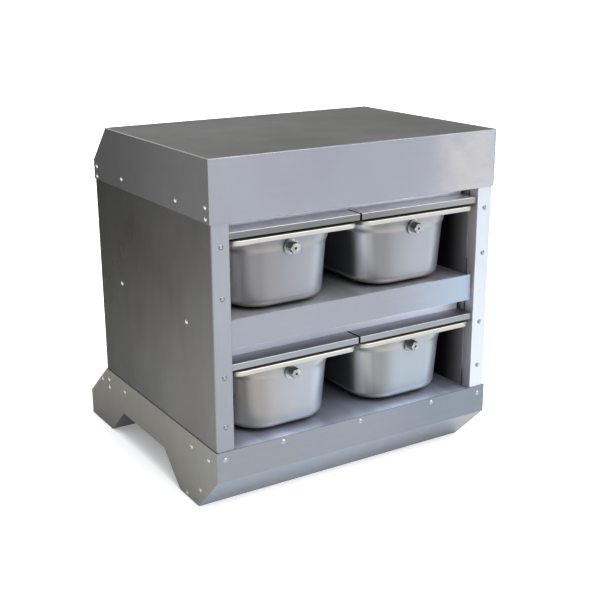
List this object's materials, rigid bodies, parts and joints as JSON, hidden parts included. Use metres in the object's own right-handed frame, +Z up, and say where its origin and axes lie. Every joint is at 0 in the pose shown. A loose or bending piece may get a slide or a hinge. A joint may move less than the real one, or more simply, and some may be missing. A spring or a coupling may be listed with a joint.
{
  "type": "uv sterilizer cabinet",
  "caption": "Riveted stainless sheet cabinet with an open front, slide-out pans on two tiers under lamp trays and fixed covers, a sloped rear hood and a footed base with side arches.",
  "frame": {"origin": "bottom centre of the whole object, on the floor", "axes": "+X to the right seen from the front, the open front faces -Y, +Z up"},
  "size_m": [0.435, 0.4268, 0.462],
  "materials": {
    "side_sheet": "satin ground sheet",
    "front_sheet": "satin ground sheet",
    "top_sheet": "satin ground sheet",
    "inner_sheet": "mill finish sheet",
    "cover_sheet": "satin sheet",
    "tray_sheet": "satin reflector sheet",
    "pan_steel": "drawn sheet, dull polish",
    "bright_steel": "turned and plated",
    "rivet_metal": "dome heads",
    "tube_glass": "clear lamp glass",
    "cap_metal": "lamp end caps and pins",
    "holder_plastic": "white moulded",
    "ballast_case": "cream enamel",
    "inlet_plastic": "black moulded"
  },
  "bodies": {
    "cabinet": {"side_panel_left": "side_sheet", "side_panel_right": "side_sheet", "top_cap": "top_sheet", "cap_cheek_left": "side_sheet", "cap_cheek_right": "side_sheet", "base_front": "front_sheet", "base_rear": "inner_sheet", "base_cheek_left": "side_sheet", "base_cheek_right": "side_sheet", "floor_deck": "inner_sheet", "middle_shelf": "inner_sheet", "back_panel": "inner_sheet", "pan_bracket_upper_left": "inner_sheet", "pan_bracket_upper_right": "inner_sheet", "centre_rail_upper": "inner_sheet", "cover_upper_left": "cover_sheet", "cover_upper_right": "cover_sheet", "lamp_tray_upper": "tray_sheet", "uv_tube_upper": "tube_glass", "tube_ends_upper": "cap_metal", "lamp_holders_upper": "holder_plastic", "pan_bracket_lower_left": "inner_sheet", "pan_bracket_lower_right": "inner_sheet", "centre_rail_lower": "inner_sheet", "cover_lower_left": "cover_sheet", "cover_lower_right": "cover_sheet", "lamp_tray_lower": "tray_sheet", "uv_tube_lower": "tube_glass", "tube_ends_lower": "cap_metal", "lamp_holders_lower": "holder_plastic", "ballast": "ballast_case", "mains_inlet": "inlet_plastic", "rivets_stile": "rivet_metal", "rivets_base_front": "rivet_metal", "rivets_cap": "rivet_metal", "rivets_shelf": "rivet_metal", "rivets_base_side": "rivet_metal"},
    "slide_pan_upper_left": {"pan_upper_left": "pan_steel", "knob_washer_upper_left": "bright_steel", "pull_knob_upper_left": "bright_steel", "knob_screw_upper_left": "bright_steel"},
    "slide_pan_upper_right": {"pan_upper_right": "pan_steel", "knob_washer_upper_right": "bright_steel", "pull_knob_upper_right": "bright_steel", "knob_screw_upper_right": "bright_steel"},
    "slide_pan_lower_left": {"pan_lower_left": "pan_steel", "knob_washer_lower_left": "bright_steel", "pull_knob_lower_left": "bright_steel", "knob_screw_lower_left": "bright_steel"},
    "slide_pan_lower_right": {"pan_lower_right": "pan_steel", "knob_washer_lower_right": "bright_steel", "pull_knob_lower_right": "bright_steel", "knob_screw_lower_right": "bright_steel"}
  },
  "joints": [
    {"name": "pan_slide_upper_left", "type": "slide", "parent": "cabinet", "child": "slide_pan_upper_left", "axis": [0, -1, 0], "range_m": [0, 0.25]},
    {"name": "pan_slide_upper_right", "type": "slide", "parent": "cabinet", "child": "slide_pan_upper_right", "axis": [0, -1, 0], "range_m": [0, 0.25]},
    {"name": "pan_slide_lower_left", "type": "slide", "parent": "cabinet", "child": "slide_pan_lower_left", "axis": [0, -1, 0], "range_m": [0, 0.25]},
    {"name": "pan_slide_lower_right", "type": "slide", "parent": "cabinet", "child": "slide_pan_lower_right", "axis": [0, -1, 0], "range_m": [0, 0.25]}
  ]
}
